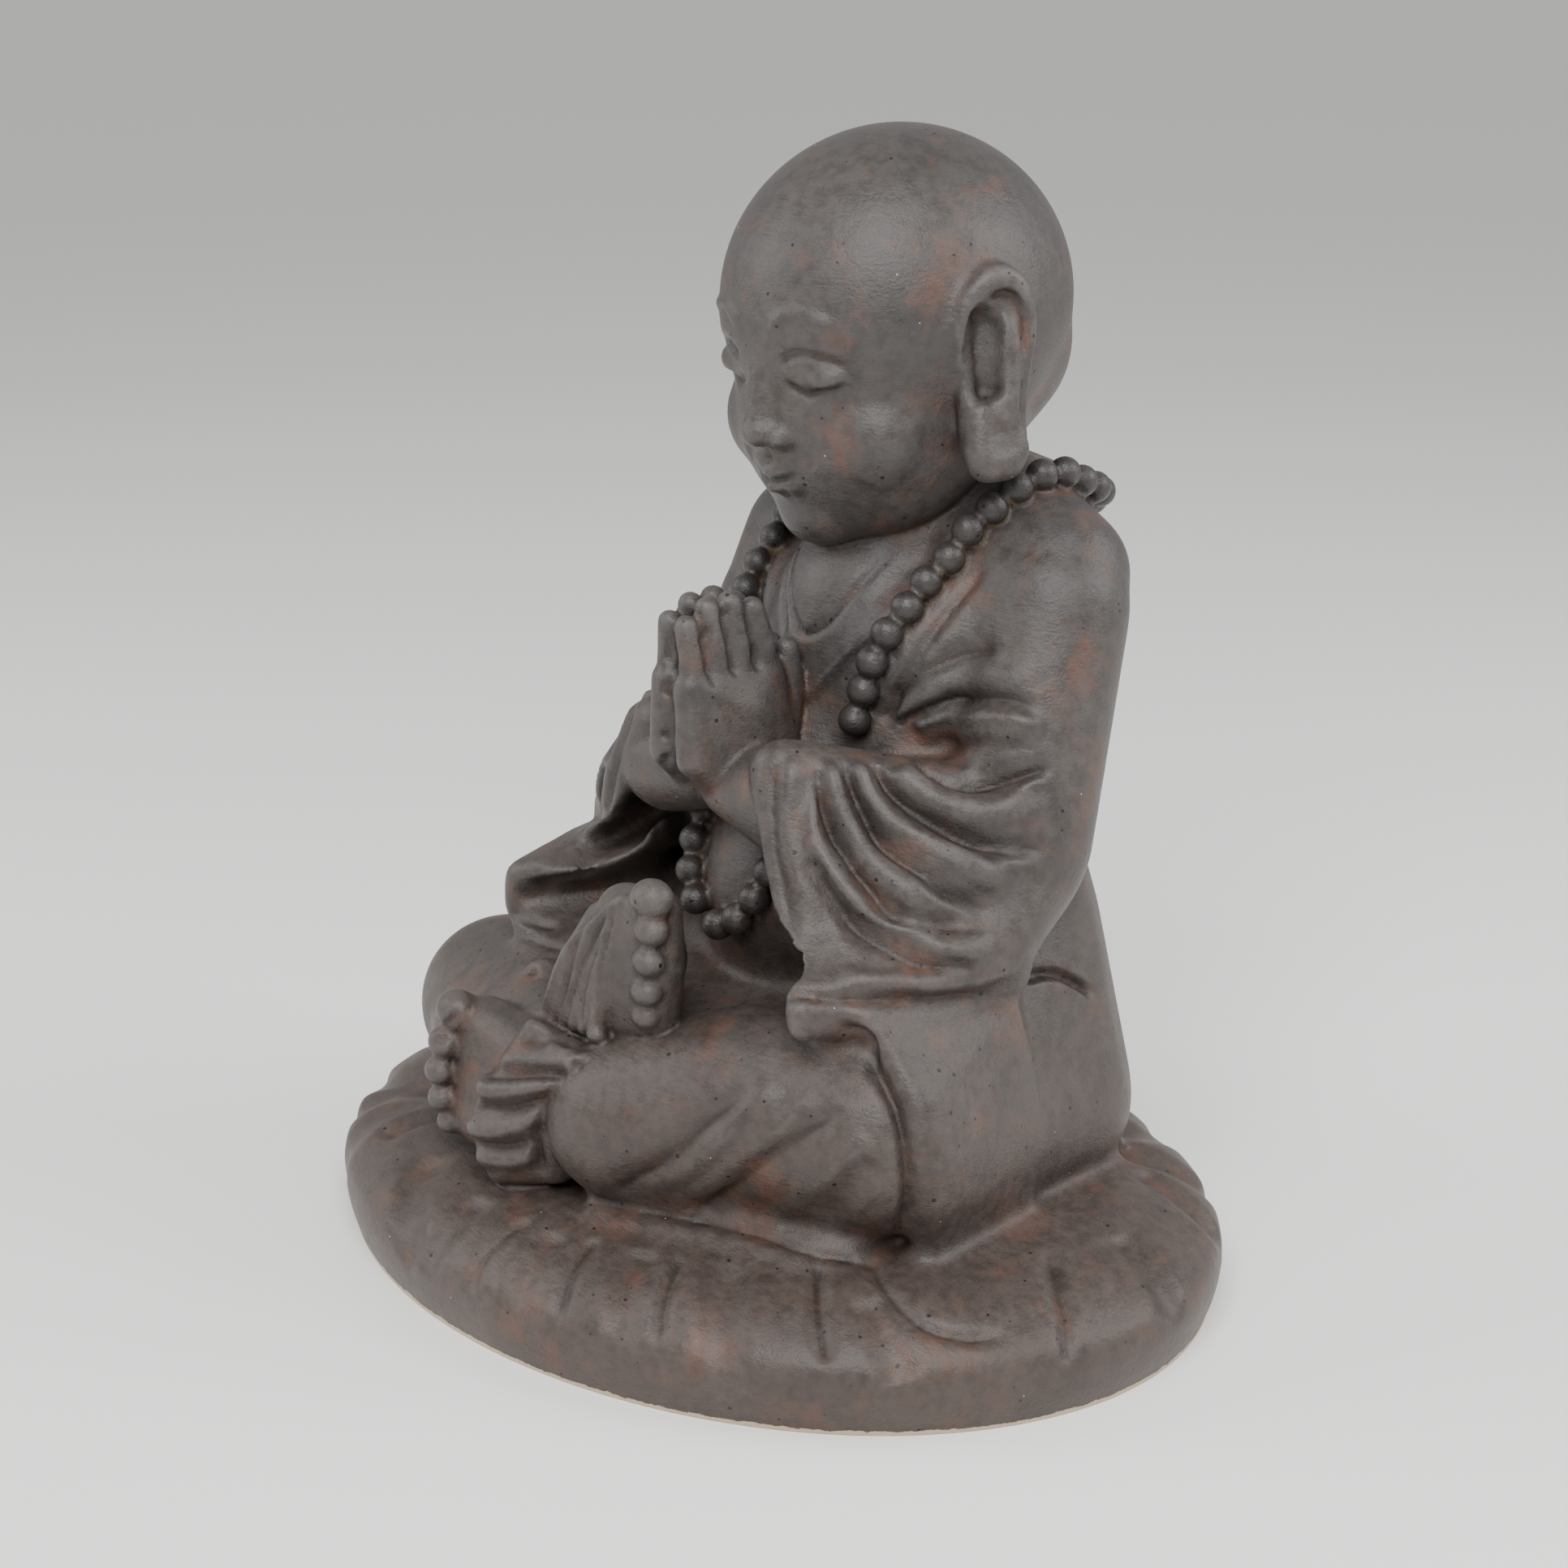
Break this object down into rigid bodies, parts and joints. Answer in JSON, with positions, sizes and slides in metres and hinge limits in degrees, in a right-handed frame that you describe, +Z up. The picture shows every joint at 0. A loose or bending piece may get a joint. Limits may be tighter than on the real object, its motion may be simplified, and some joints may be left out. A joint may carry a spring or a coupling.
{
  "type": "garden statue of a praying child monk",
  "caption": "Cast garden statue of a shaven-headed child monk seated cross-legged on a round pleated cushion, hands pressed in prayer, with a bead necklace.",
  "frame": {"origin": "middle of the cushion's flat underside, on the ground", "axes": "+Z up; the monk faces -Y; +X is the monk's left"},
  "size_m": [0.4439, 0.3543, 0.5025],
  "materials": {
    "stained_cast_resin": "matt resin and stone powder casting with a dark brown stain, rubbed grey on its high places"
  },
  "bodies": {
    "root": {"praying_monk": "stained_cast_resin"}
  },
  "joints": []
}
